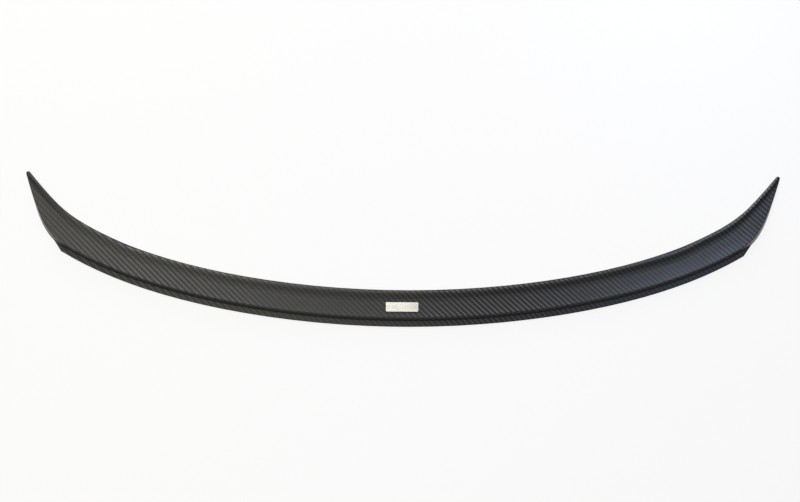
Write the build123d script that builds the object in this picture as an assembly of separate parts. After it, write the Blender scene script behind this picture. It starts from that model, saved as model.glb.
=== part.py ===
from build123d import *
from math import cos, radians, sin, sqrt, tan
import os

os.makedirs("parts", exist_ok=True)

# Rear lip spoiler. X runs across the car, Y points to the car's front, Z points up from the boot lid.
# Y = 0 is the middle of the rear adhesive strip, Z = 0 is the boot lid. All sizes are in mm.

# Plan
SPAN = 1057.0
SWEEP = 103.0  # how far every edge has swept forward at the tips, growing with the square of x
FRONT_HOOK = 49.4  # further sweep of the leading edge, growing with the sixth power of x
REAR_HOOK = 36.5  # the same for the crest and the flange
HORN_LENGTH = 57.2  # from the tip, along X, to where the leading edge turns towards it
HORN_SLOPE = 0.308
HORN_SOFT = 12.0
CREST_DEPTH = 40.0  # leading edge to trailing crest
FLANGE_WIDTH = 7.4
CORNER_BACK = 54.0  # from the tip, along X, to where the rear wall starts to turn into the side wall
SIDE_LEAN = 0.8  # how far the side edge moves in along X for each mm that the rear wall leans
SIDE_ANGLE = 16.9  # lean of the side edge at the tip, from straight ahead
WAIST_IN = 14.2  # from the tip, along X, to the point that the side edge passes beyond the corner
WAIST_AHEAD = 58.7  # from the corner, along Y, to that point
TIP_RADIUS = 3.0
FLANGE_END_BACK = 38.2  # from the tip, along X, to where the cut end of the flange meets the side edge
FLANGE_END_LEAN = 14.7  # how far that cut end leans outwards
FLANGE_ROOT = 5.5  # how far the flange runs in under the wall

# Section, with heights above the underside of the moulding
WALL = 2.2
EDGE_RISE = 1.6  # upright front edge
EDGE_SLOPE = 1.05
EDGE_FLAT = 1.2  # straight slope above the front edge
RIM_RISE = 4.9
RIM_BACK = 5.5  # leading edge to the top of the rim
VALLEY_DROP = 1.7  # top of the rim to the dip behind it
VALLEY_RUN = 7.0
RAMP_BLEND = 5.0  # length of the turn from the dip into the ramp
RAMP_KICK = 1.7  # how much steeper the ramp is at the crest than at its start
CREST_RISE = 11.9
DRAFT = 18.0
CREST_ROUND = 0.9
FOOT_ROUND = 0.9
FLANGE_ROUND = 0.8

# Adhesive strips
TAPE = 1.1
TAPE_MARGIN = 1.2
FRONT_TAPE_WIDTH = 10.0
FRONT_TAPE_SHORT = 23.5  # from the tip to the end of the front strip
PAD_SPARE = 0.6  # solid strip left behind the front strip

# Plate
PLATE_LENGTH = 45.0
PLATE_HEIGHT = 14.5
PLATE_THICK = 1.2
PLATE_CORNER = 1.6
PLATE_CLEAR = 0.1  # from the start of the ramp to the plate
PLATE_BORDER = 1.1
PLATE_RECESS = 0.3
PLATE_ROUND = 0.3
GLUE = 0.45
GLUE_MARGIN = 1.5

HALF = SPAN / 2
HORN_START = HALF - HORN_LENGTH
CORNER_X = HALF - CORNER_BACK
FLANGE_END = HALF - FLANGE_END_BACK
RIM_Z = TAPE + RIM_RISE
VALLEY_Z = RIM_Z - VALLEY_DROP
CREST_Z = TAPE + CREST_RISE
VALLEY_BACK = RIM_BACK + VALLEY_RUN
RAMP_BACK = VALLEY_BACK + RAMP_BLEND
LEAN = tan(radians(DRAFT))
FOOT_DEPTH = CREST_DEPTH + CREST_RISE * LEAN
TOTAL_DEPTH = FOOT_DEPTH + FLANGE_WIDTH
LEAD = (FOOT_DEPTH - WALL + TOTAL_DEPTH) / 2  # middle of the rear strip to the leading edge
FRONT_PAD = FRONT_TAPE_WIDTH + TAPE_MARGIN + PAD_SPARE
PLATE_BACK = RAMP_BACK + PLATE_CLEAR + PLATE_HEIGHT / 2
SPARE = 25.0  # how far helper solids reach past what they cut
REACH = HALF + SPARE
WALL_TOP = CREST_Z + 3.0


def hook(x, amount):
    return LEAD + SWEEP * (x / HALF) ** 2 + amount * (x / HALF) ** 6


def front_y(x):
    past = abs(x) - HORN_START
    return hook(x, FRONT_HOOK) + HORN_SLOPE * (past + sqrt(past * past + HORN_SOFT * HORN_SOFT)) / 2


def crest_y(x):
    return hook(x, REAR_HOOK) - CREST_DEPTH


def foot_y(x):
    return hook(x, REAR_HOOK) - FOOT_DEPTH


def flange_y(x):
    return hook(x, REAR_HOOK) - TOTAL_DEPTH


def behind_front(x, distance):
    """Y of the line that runs a given distance behind the leading edge, measured square to it."""
    slope = front_y(x + 0.5) - front_y(x - 0.5)
    return front_y(x) - distance * sqrt(1 + slope * slope)


def plan_curve(line, limit, count=21):
    """A curve along a plan line, through places that draw together towards the ends."""
    places = [limit * sin(radians(-90 + 180 * i / (count - 1))) for i in range(count)]
    return Spline(*[(x, line(x)) for x in places]).edge()


def band(near, far, near_limit, far_limit):
    """A plan strip between two lines, with straight ends."""
    return make_face(
        [
            plan_curve(near, near_limit),
            Line((near_limit, near(near_limit)), (far_limit, far(far_limit))).edge(),
            plan_curve(far, far_limit),
            Line((-far_limit, far(far_limit)), (-near_limit, near(near_limit))).edge(),
        ]
    )


def ramp_run(x):
    return front_y(x) - crest_y(x) - RAMP_BACK


def ramp_start(x):
    """Slope at the start of the ramp, from where it grows evenly to the crest."""
    return (CREST_Z - VALLEY_Z) / (RAMP_BLEND / 2 + ramp_run(x) * (1 + RAMP_KICK) / 2)


def ramp_slope(x, back):
    return ramp_start(x) * (1 + (RAMP_KICK - 1) * (back - RAMP_BACK) / ramp_run(x))


def ramp_z(x, back):
    mean_slope = (ramp_start(x) + ramp_slope(x, back)) / 2
    return VALLEY_Z + ramp_start(x) * RAMP_BLEND / 2 + mean_slope * (back - RAMP_BACK)


def section(x, lower):
    """The closed outline under the upper surface at x, lowered by a given amount."""

    def at(back, z):
        return Vector(x, front_y(x) - back, z - lower)

    behind = RAMP_BACK + ramp_run(x) + SPARE
    level = Vector(0, -1, 0)
    climb = Vector(0, -1, ramp_start(x))
    kick = Vector(0, -1, ramp_slope(x, behind))
    out = at(-SPARE, TAPE + EDGE_RISE - EDGE_SLOPE * SPARE)
    edge = at(EDGE_FLAT, TAPE + EDGE_RISE + EDGE_SLOPE * EDGE_FLAT)
    top = at(RIM_BACK, RIM_Z)
    dip = at(VALLEY_BACK, VALLEY_Z)
    ramp = at(RAMP_BACK, ramp_z(x, RAMP_BACK))
    end = at(behind, ramp_z(x, behind))
    deep = out.Z - SPARE
    return Wire(
        [
            Line(out, edge).edge(),
            Spline(edge, top, tangents=[Vector(0, -1, EDGE_SLOPE), level]).edge(),
            Spline(top, dip, tangents=[level, level]).edge(),
            Spline(dip, ramp, tangents=[level, climb]).edge(),
            Spline(ramp, end, tangents=[climb, kick]).edge(),
            Line(end, (x, end.Y, deep)).edge(),
            Line((x, end.Y, deep), (x, out.Y, deep)).edge(),
            Line((x, out.Y, deep), out).edge(),
        ]
    )


def under_surface(lower):
    """The solid below the upper surface, through sections that draw together where the horns turn."""
    shares = [0, 0.25, 0.48, 0.66, 0.78]
    turn = [HORN_START + k * HORN_SOFT for k in (-2.2, -0.6, 0.8, 2.2)]
    places = [share * HALF for share in shares] + turn + [(HALF + turn[-1]) / 2, REACH]
    return Solid.make_loft([section(x, lower) for x in [-x for x in reversed(places[1:])] + places])


def tip_arc():
    """Centre of the round tip, and where it leaves the leading edge."""
    x = HALF - 2 * TIP_RADIUS
    for _ in range(20):
        slope = front_y(x + 0.5) - front_y(x - 0.5)
        x = HALF - TIP_RADIUS * (1 + slope / sqrt(1 + slope * slope))
    turn = Vector(slope, -1).normalized() * TIP_RADIUS
    return Vector(x, front_y(x)) + turn, Vector(x, front_y(x))


def side_edge(lean):
    """The side edge from the tip to the corner behind it, which moves in as the rear wall leans."""
    centre, _ = tip_arc()
    angle = radians(SIDE_ANGLE)
    start = centre + Vector(cos(angle), -sin(angle)) * TIP_RADIUS
    corner_x = CORNER_X - lean * SIDE_LEAN
    corner = Vector(corner_x, foot_y(corner_x) + lean)
    waist = Vector(HALF - WAIST_IN - lean * SIDE_LEAN, corner.Y + WAIST_AHEAD)
    down = Vector(-sin(angle), -cos(angle))
    back = Vector(-1, foot_y(corner_x - 0.5) - foot_y(corner_x + 0.5))
    return Spline(start, waist, corner, tangents=[down, back]).edge()


def other(point):
    return Vector(-point.X, point.Y)


def outline(lean):
    """Plan of the raised part. The rear wall leans in as it rises, the front edge and the tips stay upright."""
    centre, leave = tip_arc()
    side = side_edge(lean)
    nose = centre + Vector(1, 0) * TIP_RADIUS
    start = side.position_at(0)
    return make_face(
        [
            plan_curve(front_y, leave.X, 31),
            ThreePointArc(leave, nose, start).edge(),
            side,
            plan_curve(lambda x: foot_y(x) + lean, side.position_at(1).X),
            mirror(side, Plane.YZ).edge(),
            ThreePointArc(other(leave), other(nose), other(start)).edge(),
        ]
    ).face()


def inside(edge, share):
    """The point inside the side edge by the thickness of the wall, at a share of its length."""
    along = edge.tangent_at(share)
    return edge.position_at(share) + Vector(along.Y, -along.X) * WALL


def hollow_outline(lean):
    """Plan of the hollow: behind the front strip and inside the rear and side walls."""

    def rear(x):
        return foot_y(x) + lean + WALL / cos(radians(DRAFT))

    def front(x):
        return behind_front(x, FRONT_PAD)

    edge = side_edge(lean)
    ahead, behind = 0, 1
    while behind - ahead > 0.0001:
        share = (ahead + behind) / 2
        point = inside(edge, share)
        if point.Y > front(point.X):
            ahead = share
        else:
            behind = share
    aft = inside(edge, 1).X
    fore = inside(edge, behind).X
    turn = [Vector(fore, front(fore))]
    turn += [inside(edge, behind + (1 - behind) * step / 3) for step in (1, 2)]
    turn += [Vector(aft, rear(aft))]
    return make_face(
        [
            plan_curve(rear, aft),
            Spline(*turn).edge(),
            plan_curve(front, fore),
            Spline(*[other(point) for point in turn]).edge(),
        ]
    ).face()


def rising(plan, bottom):
    """A solid from a given height to above the crest, with the plan following the lean of the rear wall."""
    return Solid.make_loft(
        [plan((z - TAPE) * LEAN).moved(Pos(0, 0, z)).outer_wire() for z in (bottom, WALL_TOP)], ruled=True
    )


# Moulding: the raised part and the flange behind it, hollow underneath
upper_limit = under_surface(0)
raised = rising(outline, TAPE) & upper_limit
sides = raised.faces().filter_by(lambda f: abs(f.normal_at().Z) < 0.5)
upper = raised.faces().filter_by(lambda f: f.normal_at().Z > 0.5)
around = upper.edges()
rim = sides.edges().filter_by(lambda e: e in around)
raised = fillet(rim.sort_by(SortBy.LENGTH, reverse=True), CREST_ROUND)

flange_plan = band(
    flange_y, lambda x: foot_y(x) + FLANGE_ROOT, FLANGE_END - FLANGE_END_LEAN, FLANGE_END
)
flange = extrude(Pos(0, 0, TAPE) * flange_plan, WALL)
flange_top = flange.faces().sort_by(Axis.Z)[-1]
flange = fillet(flange_top.edges().sort_by(Axis.Y)[0], FLANGE_ROUND)

hollow = rising(hollow_outline, TAPE - WALL) & under_surface(WALL)
solid = raised + flange
foot = solid.edges().filter_by(
    lambda e: abs(e.center().Z - TAPE - WALL) < 0.05 and e.center().Y > flange_y(e.center().X) + FLANGE_WIDTH / 2
)
solid = fillet(foot.sort_by(SortBy.LENGTH)[-1], FOOT_ROUND)
spoiler_shell = solid - hollow
export_step(spoiler_shell, "parts/spoiler_shell.step")

# Foam adhesive strips under the leading rim and under the flange
front_tape_end = HALF - FRONT_TAPE_SHORT
front_tape = extrude(
    band(
        lambda x: behind_front(x, TAPE_MARGIN),
        lambda x: behind_front(x, TAPE_MARGIN + FRONT_TAPE_WIDTH),
        front_tape_end,
        front_tape_end,
    ),
    TAPE,
)
export_step(front_tape, "parts/front_tape.step")

rear_tape_end = FLANGE_END - FLANGE_END_LEAN - TAPE_MARGIN
rear_tape = extrude(
    band(
        lambda x: flange_y(x) + TAPE_MARGIN,
        lambda x: foot_y(x) + WALL - TAPE_MARGIN,
        rear_tape_end,
        rear_tape_end,
    ),
    TAPE,
)
export_step(rear_tape, "parts/rear_tape.step")

# Blank plate with a raised border, bonded flat on the ramp
square = Vector(0, ramp_slope(0, PLATE_BACK), 1).normalized()
seat = Vector(0, front_y(0) - PLATE_BACK, ramp_z(0, PLATE_BACK))
plate_plane = Plane(seat + square * GLUE, x_dir=(1, 0, 0), z_dir=square)
blank = extrude(plate_plane * RectangleRounded(PLATE_LENGTH, PLATE_HEIGHT, PLATE_CORNER), PLATE_THICK)
blank = fillet(blank.faces().sort_by(Axis(seat, square))[-1].edges(), PLATE_ROUND)
field = RectangleRounded(
    PLATE_LENGTH - 2 * PLATE_BORDER, PLATE_HEIGHT - 2 * PLATE_BORDER, PLATE_CORNER - PLATE_BORDER / 2
)
badge_plate = blank - extrude(plate_plane.offset(PLATE_THICK - PLATE_RECESS) * field, PLATE_THICK)
export_step(badge_plate, "parts/badge_plate.step")

# Its adhesive takes up the small curve of the ramp
glue = Rectangle(PLATE_LENGTH - 2 * GLUE_MARGIN, PLATE_HEIGHT - 2 * GLUE_MARGIN)
badge_pad = extrude(plate_plane * glue, -4 * GLUE) - upper_limit
export_step(badge_pad, "parts/badge_pad.step")
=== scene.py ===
import math

import bpy
from mathutils import Euler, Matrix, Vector


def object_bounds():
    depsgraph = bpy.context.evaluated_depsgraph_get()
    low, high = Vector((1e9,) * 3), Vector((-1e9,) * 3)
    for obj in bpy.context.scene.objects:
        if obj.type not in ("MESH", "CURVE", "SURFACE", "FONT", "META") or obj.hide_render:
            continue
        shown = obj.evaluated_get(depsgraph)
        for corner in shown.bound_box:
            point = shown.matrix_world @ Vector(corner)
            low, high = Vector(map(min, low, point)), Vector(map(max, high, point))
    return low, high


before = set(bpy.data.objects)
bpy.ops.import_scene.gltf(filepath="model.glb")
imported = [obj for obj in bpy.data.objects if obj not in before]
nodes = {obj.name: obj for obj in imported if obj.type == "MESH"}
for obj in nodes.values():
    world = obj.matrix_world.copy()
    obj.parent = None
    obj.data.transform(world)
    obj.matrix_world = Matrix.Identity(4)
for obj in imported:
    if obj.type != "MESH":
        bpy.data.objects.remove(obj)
cad_low, cad_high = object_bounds()

# X runs across the car, Y points to its front and Z up. Lengths are in metres, and scales of noise per metre.
# A pair of values gives the least and the most that a pattern makes of something.

# Camera: nearly overhead, from behind the car
CAMERA_ELEVATION = math.radians(80.0)
CAMERA_ROLL = math.radians(0.42)
CAMERA_DISTANCE = 2.66
CAMERA_LENS = 86.0  # mm
CAMERA_SENSOR = 36.0  # mm
CAMERA_AIM = Vector((-0.0035, 0.1011, 0.006))

# Cloth: a 2x2 twill
TOW = 0.002
FLOAT = 2  # tows that each tow passes over
TWILL = 2 * FLOAT  # tows in one repeat
TOW_ROUND = 0.6  # the lower, the flatter the top of a tow
FLOAT_ROUND = 0.5  # the lower, the later a tow dives
FILAMENT_STRETCH = 14.0  # how much finer the filaments are across a tow than along it
FILAMENT_SCALE = 0.8  # per tow
FILAMENT_DEPTH = 0.15  # as a share of the weave's depth
WEAVE_DEPTH = 0.00012
WEAVE_STRENGTH = 0.35
STEEP = 0.6  # a face whose normal rises less than this is a wall
RIM_FACING = 0.6  # a face whose normal points further ahead than this is the front edge
FACING_DOWN = -0.2  # a face whose normal falls more than this is the underside

# How far the lengthwise and the crosswise tows differ in brightness. The share that grows or shrinks with the
# tilt of a face is painted sheen
CONTRAST = 0.4  # on a level face
SHEEN_GAIN_AHEAD = 1.6  # more on a face that tilts ahead
LEVEL_FACE_SHEEN = 0.25  # added to a level face
SHEEN_LOSS_AHEAD = -0.8  # less of that on a face that tilts ahead
SWING = 0.48  # length of a slow wave along the part, in which the weave shows well and then less
SWING_START = -1.7  # angle of that wave in the middle of the part
SWING_SIZE = 0.38
SWING_MIDDLE = 0.37
SWING_PATCHES = 0.5
SWING_DRIFT = 0.5  # for each metre to the right

# Carbon and its clear coat
CARBON_DARK = 0.007
CARBON_BRIGHT = 0.071
TOW_SHINE = (0.55, 1.1)
FILAMENT_SHINE = (0.7, 1.3)
PATCH_SHINE = (0.85, 1.15)
# The walls and sides get brighter tows: painted light
WALL_PAINTED_LIGHT = (1.0, 1.6)
CARBON_ROUGH = (0.5, 0.62)
UNDERSIDE_ROUGH = 0.2  # added
PATCH_SCALE = 30.0
PEEL_SCALE = 900.0
PEEL_DEPTH = 0.00003
PEEL_STRENGTH = 0.25

# Plate: a warm bright metal, brushed across the car
PLATE_DULL = (0.83, 0.81, 0.76, 1.0)
PLATE_BRIGHT = (0.96, 0.94, 0.9, 1.0)
PLATE_ROUGH = (0.2, 0.38)
BRUSH_ALONG = 60.0
BRUSH_ACROSS = 6000.0
BRUSH_DETAIL = 3.0
BRUSH_DEPTH = 0.00002
BRUSH_STRENGTH = 0.2
STAIN_SHARE = 0.2
STAIN_SCALE = 160.0

# Foam
FOAM_CELL = 0.7  # how far the cells and the stains change the tone
FOAM_STAIN = 0.5
FOAM_STAIN_SCALE = 60.0
FOAM_ROUGH = (0.75, 0.95)
CELL_DEPTH = 0.00015
CELL_STRENGTH = 0.5

# Stage
FLOOR_SIZE = 20.0
FLOOR_GAP = 0.0003  # keeps the floor clear of the faces that lie on it
PAPER = 0.85
WHITE_SHARE = 0.85  # how much of the floor's look is plain white, the rest shows the shadow
WARM = (1.0, 0.96, 0.84)
COOL = (0.62, 0.78, 1.25)


class Graph:
    """Short forms for the nodes of one material or world."""

    def __init__(self, owner):
        owner.use_nodes = True
        self.tree = owner.node_tree

    def add(self, kind, **inputs):
        made = self.tree.nodes.new(kind)
        for name, value in inputs.items():
            self.feed(made.inputs[name], value)
        return made

    def feed(self, socket, value):
        if isinstance(value, bpy.types.NodeSocket):
            self.tree.links.new(value, socket)
        else:
            socket.default_value = value

    def math(self, operation, *values):
        made = self.tree.nodes.new("ShaderNodeMath")
        made.operation = operation
        for socket, value in zip(made.inputs, values):
            self.feed(socket, value)
        return made.outputs[0]

    def line(self, value, slope, start):
        """A number times a slope, plus a start."""
        return self.math("MULTIPLY_ADD", value, slope, start)

    def blend(self, share, first, second):
        """A number that goes from the first to the second value."""
        made = self.tree.nodes.new("ShaderNodeMix")
        self.feed(made.inputs[0], share)
        self.feed(made.inputs[2], first)
        self.feed(made.inputs[3], second)
        return made.outputs[0]

    def tint(self, share, first, second):
        """A colour that goes from the first to the second."""
        made = self.tree.nodes.new("ShaderNodeMix")
        made.data_type = "RGBA"
        self.feed(made.inputs[0], share)
        self.feed(made.inputs[6], first)
        self.feed(made.inputs[7], second)
        return made.outputs[2]

    def parts(self, vector):
        return self.add("ShaderNodeSeparateXYZ", Vector=vector).outputs

    def vector(self, x, y, z):
        return self.add("ShaderNodeCombineXYZ", X=x, Y=y, Z=z).outputs[0]

    def noise(self, vector, scale, detail=2.0):
        return self.add("ShaderNodeTexNoise", Vector=vector, Scale=scale, Detail=detail).outputs[0]

    def bump(self, height, distance, strength):
        return self.add("ShaderNodeBump", Height=height, Distance=distance, Strength=strength).outputs[0]


def grey(level):
    return (level, level, level, 1.0)


def new_material(name, **constants):
    """A material, its graph and its shader, with the values that are the same all over it."""
    material = bpy.data.materials.new(name)
    graph = Graph(material)
    shader = graph.tree.nodes["Principled BSDF"]
    for socket, value in constants.items():
        shader.inputs[socket.replace("_", " ")].default_value = value
    return material, graph, shader


def dress(node, material):
    node.data.materials.clear()
    node.data.materials.append(material)


def cloth_places(graph):
    """Places along and across the cloth, which lies flat on the top and stands up on the walls."""
    coordinates = graph.add("ShaderNodeTexCoord").outputs
    x, y, z = graph.parts(coordinates["Object"])
    normal = graph.parts(coordinates["Normal"])
    facing = [graph.math("ABSOLUTE", part) for part in normal]
    steep = graph.math("LESS_THAN", facing[2], STEEP)
    sideways = graph.math("MULTIPLY", steep, graph.math("GREATER_THAN", facing[0], facing[1]))
    along = graph.blend(sideways, x, y)
    across = graph.blend(steep, y, z)
    return coordinates["Object"], normal, along, across, steep


def painted_tow_sheen(graph, place, normal, patches):
    """How well the weave shows, as painted sheen that changes with the tilt of a face: more on the ramp than
    on flat faces, and on the ramp more in some areas.
    """
    ahead = graph.math("MAXIMUM", normal[1], 0.0)
    painted_sheen_ahead = graph.line(ahead, SHEEN_GAIN_AHEAD, CONTRAST)
    painted_sheen_level = graph.math("MAXIMUM", graph.line(ahead, SHEEN_LOSS_AHEAD, LEVEL_FACE_SHEEN), 0.0)
    x = graph.parts(place)[0]
    swing = graph.math("COSINE", graph.line(x, 2 * math.pi / SWING, SWING_START))
    in_area = graph.line(patches, SWING_PATCHES, graph.line(swing, SWING_SIZE, SWING_MIDDLE))
    in_area = graph.math("MULTIPLY", in_area, graph.line(x, SWING_DRIFT, 1.0))
    return graph.line(in_area, painted_sheen_ahead, painted_sheen_level)


def carbon_fibre():
    """Twill carbon fibre under a satin clear coat."""
    material, graph, shader = new_material(
        "carbon_fibre", Specular_IOR_Level=0.0, Coat_Weight=1.0, Coat_Roughness=0.32, Coat_IOR=1.31
    )
    place, normal, along, across, steep = cloth_places(graph)
    column = graph.math("DIVIDE", along, TOW)
    row = graph.math("DIVIDE", across, TOW)
    diagonal = graph.math("ADD", graph.math("FLOOR", column), graph.math("FLOOR", row))
    step = graph.math("FLOORED_MODULO", diagonal, TWILL)
    lengthwise = graph.math("LESS_THAN", step, FLOAT - 0.5)

    # Each tow is rounded across, and dives at the two ends of its float
    in_column = graph.math("FRACT", column)
    in_row = graph.math("FRACT", row)
    over_tow = graph.blend(lengthwise, in_row, in_column)
    over_step = graph.blend(lengthwise, in_column, in_row)
    over_float = graph.math("ADD", graph.math("FLOORED_MODULO", step, FLOAT), over_step)
    crown = graph.math("SINE", graph.math("MULTIPLY", over_tow, math.pi))
    dive = graph.math("SINE", graph.math("MULTIPLY", over_float, math.pi / FLOAT))
    crown = graph.math("POWER", crown, TOW_ROUND)
    dive = graph.math("POWER", dive, FLOAT_ROUND)
    height = graph.math("MULTIPLY", crown, dive)

    # Fine filaments run along each tow
    fine_column = graph.math("MULTIPLY", column, FILAMENT_STRETCH)
    fine_row = graph.math("MULTIPLY", row, FILAMENT_STRETCH)
    filaments_along = graph.noise(graph.vector(column, fine_row, 0.0), FILAMENT_SCALE)
    filaments_across = graph.noise(graph.vector(fine_column, row, 0.0), FILAMENT_SCALE)
    filaments = graph.blend(lengthwise, filaments_along, filaments_across)
    patches = graph.noise(place, PATCH_SCALE)

    # The lengthwise tows shine. On the front edge below the rim the bright tows and their metal are taken
    # out, leaving the dark carbon tone: painted shade that draws a dark outline along the edge
    # The painted sheen sets how far the lengthwise tows stand out
    share = graph.blend(painted_tow_sheen(graph, place, normal, patches), 0.5, lengthwise)
    share = graph.math("MULTIPLY", share, graph.math("LESS_THAN", normal[1], RIM_FACING))
    bright = share
    # Tow crowns, filaments and patches vary the tone; the steep faces are brightened as painted light
    tone_masks = (height, filaments, patches, steep)
    for mask, shine in zip(tone_masks, (TOW_SHINE, FILAMENT_SHINE, PATCH_SHINE, WALL_PAINTED_LIGHT)):
        bright = graph.math("MULTIPLY", bright, graph.blend(mask, *shine))
    graph.feed(shader.inputs["Base Color"], graph.tint(bright, grey(CARBON_DARK), grey(CARBON_BRIGHT)))
    graph.feed(shader.inputs["Metallic"], share)
    rough = graph.blend(patches, *CARBON_ROUGH)
    underneath = graph.math("LESS_THAN", normal[2], FACING_DOWN)
    graph.feed(shader.inputs["Roughness"], graph.line(underneath, UNDERSIDE_ROUGH, rough))

    # The weave stands out a little, and the coat over it has a fine orange peel
    relief = graph.line(filaments, FILAMENT_DEPTH, height)
    graph.feed(shader.inputs["Normal"], graph.bump(relief, WEAVE_DEPTH, WEAVE_STRENGTH))
    peel = graph.noise(place, PEEL_SCALE)
    graph.feed(shader.inputs["Coat Normal"], graph.bump(peel, PEEL_DEPTH, PEEL_STRENGTH))
    return material


def bright_plate():
    """Brushed bright metal, with the lines running across the car."""
    material, graph, shader = new_material("bright_plate", Metallic=1.0, Anisotropic=0.4)
    place = graph.add("ShaderNodeTexCoord").outputs["Object"]
    x, y, _ = graph.parts(place)
    brushed = graph.vector(
        graph.math("MULTIPLY", x, BRUSH_ALONG), graph.math("MULTIPLY", y, BRUSH_ACROSS), 0.0
    )
    lines = graph.noise(brushed, 1.0, BRUSH_DETAIL)
    tone = graph.blend(STAIN_SHARE, lines, graph.noise(place, STAIN_SCALE))
    graph.feed(shader.inputs["Base Color"], graph.tint(tone, PLATE_DULL, PLATE_BRIGHT))
    graph.feed(shader.inputs["Roughness"], graph.blend(lines, *PLATE_ROUGH))
    graph.feed(shader.inputs["Normal"], graph.bump(lines, BRUSH_DEPTH, BRUSH_STRENGTH))
    return material


def foam(name, dark, pale, cells):
    """Soft foam with fine open cells, so many of them to a metre."""
    material, graph, shader = new_material(name, Specular_IOR_Level=0.3)
    place = graph.add("ShaderNodeTexCoord").outputs["Object"]
    cell = graph.add("ShaderNodeTexVoronoi", Vector=place, Scale=cells).outputs["Distance"]
    stains = graph.noise(place, FOAM_STAIN_SCALE)
    tone = graph.line(stains, FOAM_STAIN, graph.math("MULTIPLY", cell, FOAM_CELL))
    graph.feed(shader.inputs["Base Color"], graph.tint(tone, grey(dark), grey(pale)))
    graph.feed(shader.inputs["Roughness"], graph.blend(stains, *FOAM_ROUGH))
    graph.feed(shader.inputs["Normal"], graph.bump(cell, CELL_DEPTH, CELL_STRENGTH))
    return material


def floor():
    """A pale floor that looks white and keeps a trace of the shadow."""
    bpy.ops.mesh.primitive_plane_add(size=FLOOR_SIZE)
    plane = bpy.context.object
    plane.name = "floor"
    plane.location.z = -FLOOR_GAP
    material = bpy.data.materials.new("floor")
    graph = Graph(material)
    graph.tree.nodes.remove(graph.tree.nodes["Principled BSDF"])
    ray = graph.add("ShaderNodeLightPath").outputs
    seen = graph.math("MAXIMUM", ray["Is Camera Ray"], ray["Is Glossy Ray"])
    seen = graph.math("MAXIMUM", seen, ray["Is Transmission Ray"])
    paper = graph.add("ShaderNodeBsdfDiffuse", Color=grey(PAPER)).outputs[0]
    white = graph.add("ShaderNodeEmission", Color=grey(1.0), Strength=1.0).outputs[0]
    mix = graph.add("ShaderNodeMixShader", Fac=graph.math("MULTIPLY", seen, WHITE_SHARE))
    graph.feed(mix.inputs[1], paper)
    graph.feed(mix.inputs[2], white)
    graph.feed(graph.tree.nodes["Material Output"].inputs["Surface"], mix.outputs[0])
    plane.data.materials.append(material)


def softbox(name, place, aim, width, height, radiance, tint=(1.0, 1.0, 1.0)):
    """A soft rectangular lamp, with its brightness given as a surface looks."""
    lamp = bpy.data.lights.new(name, "AREA")
    lamp.shape = "RECTANGLE"
    lamp.size = width
    lamp.size_y = height
    lamp.energy = radiance * math.pi * width * height
    lamp.color = tint
    box = bpy.data.objects.new(name, lamp)
    box.location = place
    box.rotation_euler = (Vector(aim) - Vector(place)).to_track_quat("-Z", "Y").to_euler()
    bpy.context.collection.objects.link(box)


def sky(front, back):
    """An even room, brighter ahead of the car than behind it."""
    world = bpy.data.worlds.new("room")
    bpy.context.scene.world = world
    graph = Graph(world)
    direction = graph.parts(graph.add("ShaderNodeTexCoord").outputs["Generated"])
    ahead = graph.line(direction[1], 0.5, 0.5)
    background = graph.tree.nodes["Background"]
    background.inputs["Color"].default_value = grey(1.0)
    graph.feed(background.inputs["Strength"], graph.blend(ahead, back, front))


def camera():
    """The camera, behind and above the part and turned a little about its own line of sight."""
    lens = bpy.data.cameras.new("camera")
    lens.lens = CAMERA_LENS
    lens.sensor_width = CAMERA_SENSOR
    eye = bpy.data.objects.new("camera", lens)
    back = Vector((0.0, -math.cos(CAMERA_ELEVATION), math.sin(CAMERA_ELEVATION)))
    eye.location = CAMERA_AIM + back * CAMERA_DISTANCE
    eye.rotation_euler = Euler((math.pi / 2 - CAMERA_ELEVATION, 0.0, 0.0))
    eye.rotation_euler.rotate_axis("Z", CAMERA_ROLL)
    bpy.context.collection.objects.link(eye)
    bpy.context.scene.camera = eye


dress(nodes["spoiler_shell"], carbon_fibre())
dress(nodes["badge_plate"], bright_plate())
dress(nodes["badge_pad"], foam("adhesive_pad", dark=0.02, pale=0.05, cells=3000.0))
tape = foam("foam_tape", dark=0.03, pale=0.09, cells=2200.0)
dress(nodes["front_tape"], tape)
dress(nodes["rear_tape"], tape)

# Lamps: a long strip far ahead, warm ones over the left part, cool ones over the right
floor()
middle = (cad_low + cad_high) / 2
left = (-0.3, 0.1, 0.0)
left_of_middle = (-0.12, 0.1, 0.0)
right = (0.38, 0.1, 0.0)
left_horn = (-0.4, 0.2, 0.0)
right_horn = (0.46, 0.18, 0.0)
softbox("front_strip", (0.0, 2.4, 0.95), middle, width=2.8, height=0.5, radiance=2.6)
softbox("low_left", (-0.6, 1.6, 0.4), left_horn, width=1.0, height=0.4, radiance=8.5)
softbox("front_left", (-0.5, 1.05, 1.05), left, width=0.7, height=1.1, radiance=2.6, tint=WARM)
softbox("front_right", (0.43, 0.6, 0.36), right_horn, width=0.22, height=0.22, radiance=6.5, tint=COOL)
softbox("above_left", (-0.65, -0.1, 1.3), left, width=0.7, height=1.5, radiance=2.2, tint=WARM)
softbox("back_left", (-0.2, -0.75, 1.2), left_of_middle, width=0.5, height=0.5, radiance=1.6, tint=WARM)
softbox("above_right", (0.65, 0.33, 1.5), right, width=0.35, height=0.5, radiance=2.8, tint=COOL)
sky(front=0.28, back=0.2)
camera()
bpy.context.scene.view_settings.view_transform = "Standard"
